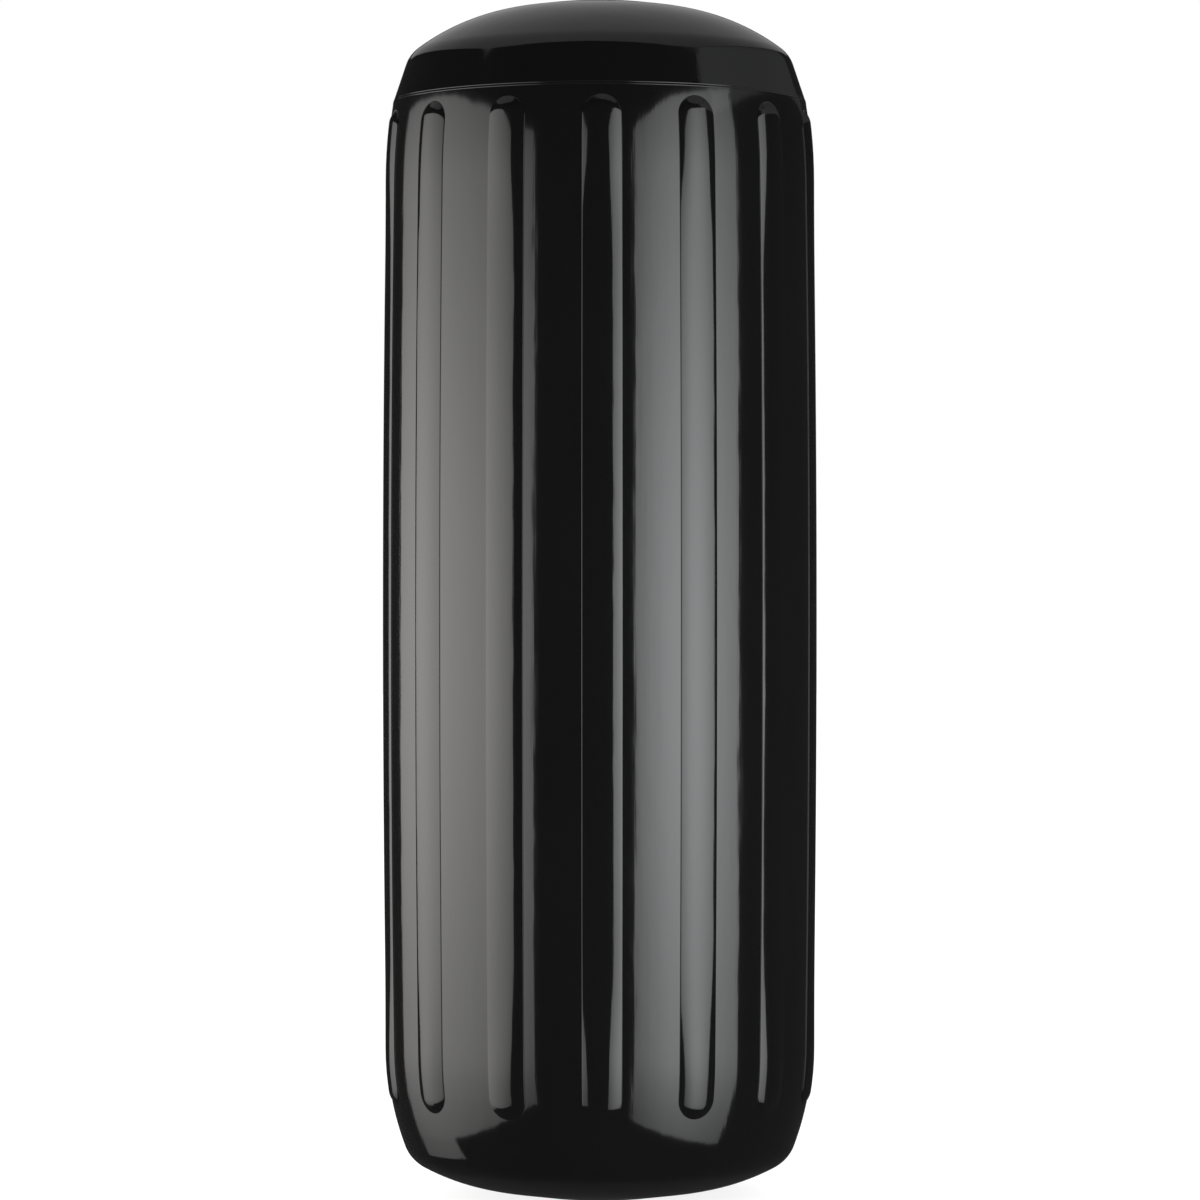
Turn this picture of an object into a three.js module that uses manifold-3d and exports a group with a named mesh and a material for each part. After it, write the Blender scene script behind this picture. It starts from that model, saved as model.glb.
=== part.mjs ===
// Pneumatic fender: a hollow vinyl barrel moulded in one piece, with crowned ribs along it, a rope tube
// through its middle and an inflation valve in its upper end. Millimetres, +Z up, standing on its lower end.
import * as THREE from "three";
import { mergeVertices, toCreasedNormals } from "three/addons/utils/BufferGeometryUtils.js";
import Module from "manifold-3d";

const wasm = await Module();
wasm.setup();

// The whole fender
const LENGTH = 864; // from end land to end land
const BARREL_RADIUS = 155; // between the ribs, where the barrel's crown meets its end turns
const CROWN_ANGLE = 0.9; // degrees that the barrel leans in at each end of its crown
const WALL = 3; // moulded skin, even all over

// The rope tube, and the flat ring round each of its mouths
const BORE_RADIUS = 14;
const MOUTH_ROUND = 10;
const LAND_WIDTH = 10;
const LAND_ROUND = 80; // radius that eases the land into the dome

// The two ends: angles are degrees turned from the flat land, so 90 runs straight along the barrel
const TOP_END = {
  coneAngle: 8.8,
  coneRun: 17,
  domeEdge: 36.8,
  cornerRadius: 23,
  shoulderAngle: 71.4,
  shoulderRun: 28.5,
  turnStart: 81,
  turnRadius: 420,
};
const BOTTOM_END = {
  coneAngle: 8.8,
  coneRun: 34,
  domeEdge: 28.3,
  cornerRadius: 26.5,
  shoulderAngle: 69.5,
  shoulderRun: 0,
  turnStart: 69.5,
  turnRadius: 215,
};
const BEAD_RISE = 0.7; // parting line of the mould, round the upper shoulder
const BEAD_HALF_WIDTH = 1.3;

// The ribs
const RIB_COUNT = 14;
const RIB_HALF_WIDTH = 14.2;
const RIB_RISE = 3.1; // crest above the barrel
const RIB_EDGE = 1.4; // steep foot of the rib, below its crown
const RIB_TOP_SETBACK = 77; // from the upper land
const RIB_BOTTOM_SETBACK = 68.5; // from the lower land
const RIB_SINK = 1.2; // how far a rib's foot reaches into the skin
const FLUTE_DEPTH = 2.2; // shallow hollow that the moulded skin keeps behind each rib
const FLUTE_REACH = 20; // how far inside BARREL_RADIUS the fluted inner face can lie

// The valve, in the upper end
const VALVE_OFFSET = 21; // from the edge of the land to the valve's axis
const VALVE_CLEARANCE = 0.3;
const POCKET_MARGIN = 2.5; // between the flange and the pocket's wall
const POCKET_RECESS = 0.7; // of the flange's face below the skin
const POCKET_DRAFT = 15; // degrees
const NECK_BORE_RADIUS = 6;
const NECK_LENGTH = 9; // from the pocket's floor to its inner end
const FLANGE_RADIUS = 10.5;
const FLANGE_THICKNESS = 2;
const FLANGE_BEVEL = 0.5;
const BARB_GRIP = 1.4; // how far the barb stands out behind the neck's bore
const BARB_RIM = 1; // straight part of the barb
const BARB_LENGTH = 5;
const TIP_RADIUS = 4;
const NEEDLE_RADIUS = 1.1;
const SCREW_HEAD_RADIUS = 5.2;
const SCREW_HEAD_HEIGHT = 1.3;
const SCREW_HEAD_BEVEL = 0.4;
const SCREW_SHANK_RADIUS = 2.9;
const SCREW_SHANK_BEVEL = 0.8;
const SCREW_LENGTH = 7.4; // under its head
const SLOT_WIDTH = 1.4;
const SLOT_DEPTH = 0.8;

// Facets
const SKIN_FACETS = 4 * RIB_COUNT;
const CAVITY_FACETS = 2 * RIB_COUNT;
const VALVE_FACETS = 28;
const SKIN_SAG = 0.25; // furthest that a facet strays from its arc
const CAVITY_SAG = 0.5;
const RIB_END_FACETS = 6;
const RIB_CROWN_SHARES = [1, 0.6, 0]; // of the half width, from the rib's foot to its crest
const WELD = 1e-4; // corners nearer than this are one
const CREASE_ANGLE = 20; // degrees past which an edge stays crisp

const BODY_LOOK = { color: 0x17171a, roughness: 0.18, metalness: 0 };
const VALVE_LOOK = { color: 0x202022, roughness: 0.45, metalness: 0 };
const SCREW_LOOK = { color: 0x2a2a2c, roughness: 0.4, metalness: 0 };

const { degToRad, radToDeg, mapLinear } = THREE.MathUtils;
const sin = (degrees) => Math.sin(degToRad(degrees));
const cos = (degrees) => Math.cos(degToRad(degrees));

// An outline in the plane of the axis, walked from station to station. At heading 0 it runs outwards,
// at 90 down and at 180 inwards, with the material on its right hand.
class Outline {
  constructor(r, z, heading, sag) {
    this.heading = heading;
    this.sag = sag;
    this.stations = [{ r, z, heading }];
  }
  step(dr, dz) {
    const { r, z } = this.stations.at(-1);
    this.stations.push({ r: r + dr, z: z + dz, heading: this.heading });
  }
  run(length) {
    if (length > 0) this.step(length * cos(this.heading), -length * sin(this.heading));
  }
  arc(radius, toHeading) {
    const finest = 2 * radToDeg(Math.acos(1 - this.sag / radius));
    const steps = Math.ceil((toHeading - this.heading) / finest);
    const turn = (toHeading - this.heading) / steps;
    for (let i = 0; i < steps; i++) {
      const from = this.heading;
      this.heading += turn;
      this.step(radius * (sin(this.heading) - sin(from)), -radius * (cos(from) - cos(this.heading)));
    }
  }
  kink(toHeading) {
    this.stations.at(-1).heading = (this.heading + toHeading) / 2;
    this.heading = toHeading;
  }
  // The outline's points, set in from it by a wall.
  points(wall) {
    return this.stations.map(({ r, z, heading }) => ({
      r: r - wall * sin(heading),
      z: z - wall * cos(heading),
    }));
  }
}

const landRadius = BORE_RADIUS + MOUTH_ROUND + LAND_WIDTH;

// The dome takes up what the other parts of an end leave between the land and the barrel.
function domeOf(end) {
  const coneEdge = landRadius + LAND_ROUND * sin(end.coneAngle) + end.coneRun * cos(end.coneAngle);
  const turnStart = BARREL_RADIUS - end.turnRadius * (cos(CROWN_ANGLE) - sin(end.turnStart));
  const cornerEnd = turnStart - end.shoulderRun * cos(end.shoulderAngle);
  const domeEnd = cornerEnd - end.cornerRadius * (sin(end.shoulderAngle) - sin(end.domeEdge));
  return (domeEnd - coneEdge) / (sin(end.domeEdge) - sin(end.coneAngle));
}

// How far the crown of the barrel starts from the end's land, along the axis.
function depthOf(end) {
  return (
    LAND_ROUND * (1 - cos(end.coneAngle)) +
    end.coneRun * sin(end.coneAngle) +
    domeOf(end) * (cos(end.coneAngle) - cos(end.domeEdge)) +
    end.cornerRadius * (cos(end.domeEdge) - cos(end.shoulderAngle)) +
    end.shoulderRun * sin(end.shoulderAngle) +
    end.turnRadius * (cos(end.turnStart) - sin(CROWN_ANGLE))
  );
}

function walkTopEnd(outline) {
  outline.arc(MOUTH_ROUND, 0);
  outline.run(LAND_WIDTH);
  outline.arc(LAND_ROUND, TOP_END.coneAngle);
  outline.run(TOP_END.coneRun);
  outline.arc(domeOf(TOP_END), TOP_END.domeEdge);
  outline.arc(TOP_END.cornerRadius, TOP_END.shoulderAngle);
  outline.run(TOP_END.shoulderRun);
  outline.kink(TOP_END.turnStart);
  outline.arc(TOP_END.turnRadius, 90 - CROWN_ANGLE);
}

function walkBottomEnd(outline) {
  outline.arc(BOTTOM_END.turnRadius, 180 - BOTTOM_END.turnStart);
  outline.run(BOTTOM_END.shoulderRun);
  outline.arc(BOTTOM_END.cornerRadius, 180 - BOTTOM_END.domeEdge);
  outline.arc(domeOf(BOTTOM_END), 180 - BOTTOM_END.coneAngle);
  outline.run(BOTTOM_END.coneRun);
  outline.arc(LAND_ROUND, 180);
  outline.run(LAND_WIDTH);
  outline.arc(MOUTH_ROUND, 270);
}

// The closed section of the fender: out of the top mouth, down the barrel and into the bottom mouth.
function fenderSection(sag) {
  const outline = new Outline(BORE_RADIUS, LENGTH - MOUTH_ROUND, -90, sag);
  const crownLength = LENGTH - depthOf(TOP_END) - depthOf(BOTTOM_END);
  walkTopEnd(outline);
  outline.arc(crownLength / 2 / sin(CROWN_ANGLE), 90 + CROWN_ANGLE);
  walkBottomEnd(outline);
  return outline;
}

// The mould's parting line: a fine bead where the upper shoulder meets the barrel.
function partingBead() {
  const turn = cos(TOP_END.turnStart) - sin(CROWN_ANGLE);
  const r = BARREL_RADIUS - TOP_END.turnRadius * (cos(CROWN_ANGLE) - sin(TOP_END.turnStart));
  const z = LENGTH - depthOf(TOP_END) + TOP_END.turnRadius * turn;
  const profile = [
    { r: r - BEAD_RISE, z: z + BEAD_HALF_WIDTH },
    { r: r + BEAD_RISE, z },
    { r: r - BEAD_RISE, z: z - BEAD_HALF_WIDTH },
  ];
  return solidOf(turnedLoop(profile, SKIN_FACETS));
}

function solidOf(geometry) {
  geometry.deleteAttribute("normal");
  geometry.deleteAttribute("uv");
  const merged = mergeVertices(geometry, WELD);
  const kept = [];
  const all = merged.index.array;
  for (let i = 0; i < all.length; i += 3) {
    const [a, b, c] = [all[i], all[i + 1], all[i + 2]];
    if (a !== b && b !== c && c !== a) kept.push(a, b, c);
  }
  const vertProperties = merged.attributes.position.array;
  return new wasm.Manifold(new wasm.Mesh({ numProp: 3, vertProperties, triVerts: new Uint32Array(kept) }));
}

function geometryOf(solid) {
  const { vertProperties, triVerts } = solid.getMesh();
  const geometry = new THREE.BufferGeometry();
  geometry.setAttribute("position", new THREE.BufferAttribute(vertProperties, 3));
  geometry.setIndex(new THREE.BufferAttribute(triVerts, 1));
  return toCreasedNormals(geometry, degToRad(CREASE_ANGLE));
}

// A profile of {r, z} turned round the axis. It closes on itself, or starts and ends on the axis.
function turned(profile, facets) {
  const points = profile.map(({ r, z }) => new THREE.Vector2(r, z));
  return new THREE.LatheGeometry(points.reverse(), facets).rotateX(Math.PI / 2);
}

function turnedLoop(profile, facets) {
  return turned([...profile, profile[0]], facets);
}

// The radius of a turned barrel at a height, between the ends' lands.
function radiusAt(barrel, z) {
  const i = barrel.findIndex((p, n) => n > 0 && p.z <= z && barrel[n - 1].z > z && p.r > landRadius);
  const [above, below] = [barrel[i - 1], barrel[i]];
  return mapLinear(z, above.z, below.z, above.r, below.r);
}

const rib = {
  low: RIB_BOTTOM_SETBACK,
  high: LENGTH - RIB_TOP_SETBACK,
  lowCentre: RIB_BOTTOM_SETBACK + RIB_HALF_WIDTH,
  highCentre: LENGTH - RIB_TOP_SETBACK - RIB_HALF_WIDTH,
};

// The edge of a rib, a slot shape with round ends, shrunk towards its middle line by share.
function ribRing(heights, share) {
  const reach = RIB_HALF_WIDTH * share;
  const ring = [];
  const roundEnd = (centre, start) => {
    for (let i = 0; i <= RIB_END_FACETS; i++) {
      const angle = start + (180 * i) / RIB_END_FACETS;
      ring.push({ across: reach * cos(angle), z: centre + reach * sin(angle) });
    }
  };
  roundEnd(rib.highCentre, 0);
  for (const z of heights) ring.push({ across: -reach, z });
  roundEnd(rib.lowCentre, 180);
  for (const z of heights.toReversed()) ring.push({ across: reach, z });
  return ring;
}

// Rings of the rib's edge at a share of its half width and a rise above the barrel, from inside the skin
// up to the crest. The first and last rings have no width, so they close the solid.
function ribRings(heights) {
  const crown = (share) => RIB_EDGE + (RIB_RISE - RIB_EDGE) * (1 - share * share);
  return [
    { rise: -RIB_SINK, ring: ribRing(heights, 0) },
    { rise: -RIB_SINK, ring: ribRing(heights, 1) },
    ...RIB_CROWN_SHARES.map((share) => ({ rise: crown(share), ring: ribRing(heights, share) })),
  ];
}

// One rib, laid on the barrel at an azimuth in radians.
function ribGeometry(barrel, azimuth) {
  const heights = barrel.map(({ z }) => z).filter((z) => z < rib.highCentre && z > rib.lowCentre);
  const rings = ribRings([...new Set(heights)]);
  const positions = [];
  for (const { rise, ring } of rings) {
    for (const { across, z } of ring) {
      const radius = radiusAt(barrel, z);
      const angle = azimuth + across / radius;
      positions.push((radius + rise) * Math.cos(angle), (radius + rise) * Math.sin(angle), z);
    }
  }
  const geometry = new THREE.BufferGeometry();
  geometry.setAttribute("position", new THREE.Float32BufferAttribute(positions, 3));
  return geometry.setIndex(bridges(rings.length, rings[0].ring.length));
}

// Triangles that join each closed ring of points to the next.
function bridges(rings, points) {
  const index = [];
  for (let ring = 0; ring + 1 < rings; ring++) {
    for (let i = 0; i < points; i++) {
      const a = ring * points + i;
      const b = ring * points + ((i + 1) % points);
      index.push(a, b, b + points, a, b + points, a + points);
    }
  }
  return index;
}

function withRibs(base, barrel) {
  let joined = base;
  for (let i = 0; i < RIB_COUNT; i++) {
    const azimuth = -Math.PI / 2 + (i * 2 * Math.PI) / RIB_COUNT;
    joined = joined.add(solidOf(ribGeometry(barrel, azimuth)));
  }
  return joined;
}

// The air space. Its face bows out behind each rib, as the skin follows the mould.
function cavityGeometry() {
  const geometry = turnedLoop(fenderSection(CAVITY_SAG).points(WALL), CAVITY_FACETS);
  const place = geometry.getAttribute("position");
  for (let i = 0; i < place.count; i++) {
    const [x, y, z] = [place.getX(i), place.getY(i), place.getZ(i)];
    const radius = Math.hypot(x, y);
    if (radius < BARREL_RADIUS - FLUTE_REACH || z > rib.highCentre || z < rib.lowCentre) continue;
    const wave = (1 + Math.cos(RIB_COUNT * (Math.atan2(y, x) + Math.PI / 2))) / 2;
    const stretch = 1 + (FLUTE_DEPTH * wave) / radius;
    place.setXY(i, x * stretch, y * stretch);
  }
  return geometry;
}

// The valve's own frame: its axis stands square on the skin of the upper end, behind the rope mouth.
function valveFrame() {
  const { stations } = fenderSection(SKIN_SAG);
  const radius = landRadius + VALVE_OFFSET;
  const i = stations.findIndex(({ r }) => r > radius);
  const [inner, outer] = [stations[i - 1], stations[i]];
  const frame = new THREE.Group();
  frame.position.set(0, radius, mapLinear(radius, inner.r, outer.r, inner.z, outer.z));
  frame.rotation.x = Math.atan2(outer.z - inner.z, outer.r - inner.r);
  frame.updateMatrix();
  return frame;
}

// Heights in the valve's frame
const flangeTop = -POCKET_RECESS;
const flangeSeat = flangeTop - FLANGE_THICKNESS;
const pocketFloor = flangeSeat - VALVE_CLEARANCE;
const neckEnd = pocketFloor - NECK_LENGTH;
const underHead = flangeTop - SCREW_HEAD_HEIGHT;
const screwTip = underHead - SCREW_LENGTH;

const pocketRadius = FLANGE_RADIUS + POCKET_MARGIN;

function cylinder(radius, low, high) {
  const profile = [
    { r: 0, z: high },
    { r: radius, z: high },
    { r: radius, z: low },
    { r: 0, z: low },
  ];
  return turned(profile, VALVE_FACETS);
}

// The skin dips into the cavity round the pocket, and its neck holds the valve body.
function valveBoss(frame) {
  const cup = solidOf(cylinder(pocketRadius + WALL, pocketFloor - WALL, 0).applyMatrix4(frame.matrix));
  const neck = solidOf(cylinder(NECK_BORE_RADIUS + WALL, neckEnd, pocketFloor).applyMatrix4(frame.matrix));
  return cup.add(neck);
}

function valveOpening(frame) {
  const mouth = pocketRadius + (WALL - pocketFloor) * Math.tan(degToRad(POCKET_DRAFT));
  const flare = [
    { r: 0, z: WALL },
    { r: mouth, z: WALL },
    { r: pocketRadius, z: pocketFloor },
    { r: 0, z: pocketFloor },
  ];
  const pocket = solidOf(turned(flare, VALVE_FACETS).applyMatrix4(frame.matrix));
  const bore = solidOf(cylinder(NECK_BORE_RADIUS, neckEnd - WALL, 0).applyMatrix4(frame.matrix));
  return pocket.add(bore);
}

function fenderBody(frame) {
  const barrel = fenderSection(SKIN_SAG).points(0);
  const skin = withRibs(solidOf(turnedLoop(barrel, SKIN_FACETS)).add(partingBead()), barrel);
  const cavity = solidOf(cavityGeometry()).subtract(valveBoss(frame));
  return skin.subtract(cavity).subtract(valveOpening(frame));
}

// A flanged bush with a barbed inner end, a screw hole and a needle passage.
function valveBody() {
  const stem = NECK_BORE_RADIUS - VALVE_CLEARANCE;
  const barb = NECK_BORE_RADIUS + BARB_GRIP;
  const barbTop = neckEnd - VALVE_CLEARANCE;
  const tip = barbTop - BARB_LENGTH;
  const headHole = SCREW_HEAD_RADIUS + VALVE_CLEARANCE;
  const shankHole = SCREW_SHANK_RADIUS + VALVE_CLEARANCE;
  const profile = [
    { r: headHole, z: flangeTop },
    { r: FLANGE_RADIUS - FLANGE_BEVEL, z: flangeTop },
    { r: FLANGE_RADIUS, z: flangeTop - FLANGE_BEVEL },
    { r: FLANGE_RADIUS, z: flangeSeat },
    { r: stem, z: flangeSeat },
    { r: stem, z: barbTop },
    { r: barb, z: barbTop },
    { r: barb, z: barbTop - BARB_RIM },
    { r: TIP_RADIUS, z: tip },
    { r: NEEDLE_RADIUS, z: tip },
    { r: NEEDLE_RADIUS, z: screwTip - VALVE_CLEARANCE - shankHole },
    { r: shankHole, z: screwTip - VALVE_CLEARANCE },
    { r: shankHole, z: underHead - VALVE_CLEARANCE },
    { r: headHole, z: underHead - VALVE_CLEARANCE },
  ];
  return solidOf(turnedLoop(profile, VALVE_FACETS));
}

// The slotted screw that closes the bush.
function valveScrew() {
  const profile = [
    { r: 0, z: flangeTop },
    { r: SCREW_HEAD_RADIUS - SCREW_HEAD_BEVEL, z: flangeTop },
    { r: SCREW_HEAD_RADIUS, z: flangeTop - SCREW_HEAD_BEVEL },
    { r: SCREW_HEAD_RADIUS, z: underHead },
    { r: SCREW_SHANK_RADIUS, z: underHead },
    { r: SCREW_SHANK_RADIUS, z: screwTip + SCREW_SHANK_BEVEL },
    { r: SCREW_SHANK_RADIUS - SCREW_SHANK_BEVEL, z: screwTip },
    { r: 0, z: screwTip },
  ];
  const slot = new THREE.BoxGeometry(3 * SCREW_HEAD_RADIUS, SLOT_WIDTH, 2 * SLOT_DEPTH);
  return solidOf(turned(profile, VALVE_FACETS)).subtract(solidOf(slot.translate(0, 0, flangeTop)));
}

function meshOf(name, solid, look) {
  const mesh = new THREE.Mesh(geometryOf(solid), new THREE.MeshStandardMaterial(look));
  mesh.name = name;
  return mesh;
}

const fender = new THREE.Group();
const valve = valveFrame();
valve.add(meshOf("valve_body", valveBody(), VALVE_LOOK), meshOf("valve_screw", valveScrew(), SCREW_LOOK));
fender.add(meshOf("fender_body", fenderBody(valve), BODY_LOOK), valve);

export default fender;
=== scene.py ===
"""Looks of a ribbed vinyl boat fender, standing on its lower end in a plain pale studio.

The fender's skin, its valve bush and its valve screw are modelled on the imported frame, in metres, +Z up.
"""

import logging
import math
from collections.abc import Callable
from dataclasses import dataclass
from enum import Enum
from typing import ClassVar

import bpy
from mathutils import Matrix, Vector


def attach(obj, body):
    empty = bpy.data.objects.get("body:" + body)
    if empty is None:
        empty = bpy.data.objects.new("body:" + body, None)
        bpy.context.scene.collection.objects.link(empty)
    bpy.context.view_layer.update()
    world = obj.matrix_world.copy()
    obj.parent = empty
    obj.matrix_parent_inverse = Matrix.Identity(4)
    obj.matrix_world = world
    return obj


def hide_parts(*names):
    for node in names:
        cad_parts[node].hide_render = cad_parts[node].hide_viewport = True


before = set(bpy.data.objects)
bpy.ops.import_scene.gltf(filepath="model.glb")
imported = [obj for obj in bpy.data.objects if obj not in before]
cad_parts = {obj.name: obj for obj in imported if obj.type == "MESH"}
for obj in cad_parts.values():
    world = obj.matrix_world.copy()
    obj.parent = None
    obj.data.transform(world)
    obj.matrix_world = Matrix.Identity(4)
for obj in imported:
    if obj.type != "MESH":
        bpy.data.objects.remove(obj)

log = logging.getLogger("fender")
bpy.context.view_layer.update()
BODY = "root"
MERGE = 2e-6
SEAM = 1e-5
Pair = tuple[float, float]
Triple = tuple[float, float, float]
Quadruple = tuple[float, float, float, float]
Row = tuple[float, ...]


def sin(degrees: float) -> float:
    """Returns the sine of an angle in degrees."""
    return math.sin(math.radians(degrees))


def cos(degrees: float) -> float:
    """Returns the cosine of an angle in degrees."""
    return math.cos(math.radians(degrees))


class Sharpness(Enum):
    """Angle in degrees past which an edge stays crisp."""

    SOFT = 40.0
    MACHINED = 28.0


@dataclass(frozen=True)
class EndShape:
    """One end of the fender, from the flat land round the rope mouth out to the barrel.

    Angles are degrees turned from the flat land, so 90 runs straight along the barrel.
    """

    cone_run: float
    dome_edge: float
    corner_radius: float
    shoulder_angle: float
    shoulder_run: float
    turn_start: float
    turn_radius: float
    cone_angle: float = 8.8
    cone_steps: int = 3
    dome_steps: int = 16
    corner_steps: int = 14
    turn_steps: int = 1


@dataclass(frozen=True)
class FenderSizes:
    """Sizes of the whole fender, in metres."""

    length: float = 0.864
    barrel_radius: float = 0.15495
    crown_angle: float = 0.9
    bore_radius: float = 0.014
    mouth_round: float = 0.010
    land_width: float = 0.010
    land_round: float = 0.080
    top: EndShape = EndShape(
        cone_run=0.017,
        dome_edge=36.8,
        corner_radius=0.023,
        shoulder_angle=71.4,
        shoulder_run=0.0285,
        turn_start=81.0,
        turn_radius=0.420,
    )
    bottom: EndShape = EndShape(
        cone_run=0.034,
        dome_edge=28.3,
        corner_radius=0.0265,
        shoulder_angle=69.5,
        shoulder_run=0.0,
        turn_start=69.5,
        turn_radius=0.215,
        cone_steps=4,
        dome_steps=12,
        turn_steps=10,
    )

    @property
    def land_radius(self) -> float:
        """Returns the outer radius of the flat land."""
        return self.bore_radius + self.mouth_round + self.land_width

    def dome_radius(self, end: EndShape) -> float:
        """Works out the dome that fills what the other parts of an end leave.

        Args:
            end: the end's shape.

        Returns:
            The radius of the dome's arc.
        """
        land_end = self.land_radius + self.land_round * sin(end.cone_angle)
        cone_edge = land_end + end.cone_run * cos(end.cone_angle)
        turn = self.barrel_radius - end.turn_radius * (cos(self.crown_angle) - sin(end.turn_start))
        corner_end = turn - end.shoulder_run * cos(end.shoulder_angle)
        dome_end = corner_end - end.corner_radius * (sin(end.shoulder_angle) - sin(end.dome_edge))
        return (dome_end - cone_edge) / (sin(end.dome_edge) - sin(end.cone_angle))

    def depth(self, end: EndShape) -> float:
        """Works out how far the barrel's crown starts from an end's land.

        Args:
            end: the end's shape.

        Returns:
            The distance along the axis.
        """
        return (
            self.land_round * (1 - cos(end.cone_angle))
            + end.cone_run * sin(end.cone_angle)
            + self.dome_radius(end) * (cos(end.cone_angle) - cos(end.dome_edge))
            + end.corner_radius * (cos(end.dome_edge) - cos(end.shoulder_angle))
            + end.shoulder_run * sin(end.shoulder_angle)
            + end.turn_radius * (cos(end.turn_start) - sin(self.crown_angle))
        )

    def turn_centre(self, end: EndShape) -> Pair:
        """Finds the centre of the arc that turns an end into the barrel's crown.

        Args:
            end: the end's shape.

        Returns:
            The centre's radius, and its distance from the end's land.
        """
        radius = self.barrel_radius - end.turn_radius * cos(self.crown_angle)
        return radius, self.depth(end) + end.turn_radius * sin(self.crown_angle)

    def radius_at(self, z: float) -> float:
        """Gives the barrel's radius between its ribs.

        Args:
            z: height above the lower land, between the two shoulders.

        Returns:
            The radius of the skin there.
        """
        low, high = self.depth(self.bottom), self.length - self.depth(self.top)
        if z > high:
            return self.turn_arc(self.top, self.length - z)
        if z < low:
            return self.turn_arc(self.bottom, z)
        crown = (high - low) / 2 / sin(self.crown_angle)
        rise = math.sqrt(crown**2 - (z - (high + low) / 2) ** 2) - crown * cos(self.crown_angle)
        return self.barrel_radius + rise

    def turn_arc(self, end: EndShape, depth: float) -> float:
        """Gives the skin's radius on an end's turning arc.

        Args:
            end: the end's shape.
            depth: distance from the end's land along the axis.

        Returns:
            The radius of the skin there.
        """
        centre_r, centre_depth = self.turn_centre(end)
        return centre_r + math.sqrt(end.turn_radius**2 - (centre_depth - depth) ** 2)

    def turn_heading(self, end: EndShape, depth: float) -> float:
        """Gives the skin's angle on an end's turning arc.

        Args:
            end: the end's shape.
            depth: distance from the end's land along the axis.

        Returns:
            The angle turned from the flat land, in degrees.
        """
        _, centre_depth = self.turn_centre(end)
        return math.degrees(math.acos((centre_depth - depth) / end.turn_radius))


SIZES = FenderSizes()


def start_empty_point(name: str, place: Triple) -> bpy.types.Object:
    """Makes a mesh of one vertex, selected in edit mode: a small plane merged to its centre.

    Args:
        name: the object's name.
        place: where the vertex is.

    Returns:
        The new object, in edit mode.
    """
    bpy.ops.object.select_all(action="DESELECT")
    bpy.ops.mesh.primitive_plane_add(size=0.001)
    piece = bpy.context.object
    piece.name = name
    bpy.ops.object.mode_set(mode="EDIT")
    bpy.ops.mesh.select_mode(type="VERT")
    bpy.ops.mesh.merge(type="CENTER")
    bpy.ops.transform.translate(value=place)
    return piece


def leave_edit() -> None:
    """Goes back to object mode."""
    bpy.ops.object.mode_set(mode="OBJECT")


def select_edges(piece: bpy.types.Object, test: Callable[[bpy.types.MeshEdge], bool]) -> None:
    """Selects some edges of a piece, which is left in edit mode.

    Args:
        piece: the mesh object, in edit mode.
        test: says of an edge whether it is wanted.
    """
    bpy.ops.mesh.select_mode(type="EDGE")
    bpy.ops.mesh.select_all(action="DESELECT")
    leave_edit()
    for edge in piece.data.edges:
        edge.select = test(edge)
    bpy.ops.object.mode_set(mode="EDIT")


def weld(piece: bpy.types.Object, threshold: float = MERGE) -> None:
    """Merges doubled vertices and turns the faces outwards.

    Args:
        piece: the mesh object.
        threshold: how near two vertices have to be.
    """
    bpy.ops.object.select_all(action="DESELECT")
    piece.select_set(True)
    bpy.context.view_layer.objects.active = piece
    bpy.ops.object.mode_set(mode="EDIT")
    bpy.ops.mesh.select_all(action="SELECT")
    bpy.ops.mesh.remove_doubles(threshold=threshold)
    bpy.ops.mesh.normals_make_consistent(inside=False)
    leave_edit()


def smooth(piece: bpy.types.Object, sharpness: Sharpness) -> None:
    """Shades a piece smooth, apart from its crisp edges.

    Args:
        piece: the mesh object.
        sharpness: which edges stay crisp.
    """
    bpy.ops.object.select_all(action="DESELECT")
    piece.select_set(True)
    bpy.context.view_layer.objects.active = piece
    bpy.ops.object.shade_smooth_by_angle(angle=math.radians(sharpness.value))


def apply_modifiers(piece: bpy.types.Object) -> None:
    """Applies every modifier of a piece.

    Args:
        piece: the mesh object.
    """
    bpy.ops.object.select_all(action="DESELECT")
    piece.select_set(True)
    bpy.context.view_layer.objects.active = piece
    for modifier in list(piece.modifiers):
        bpy.ops.object.modifier_apply(modifier=modifier.name)


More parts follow.
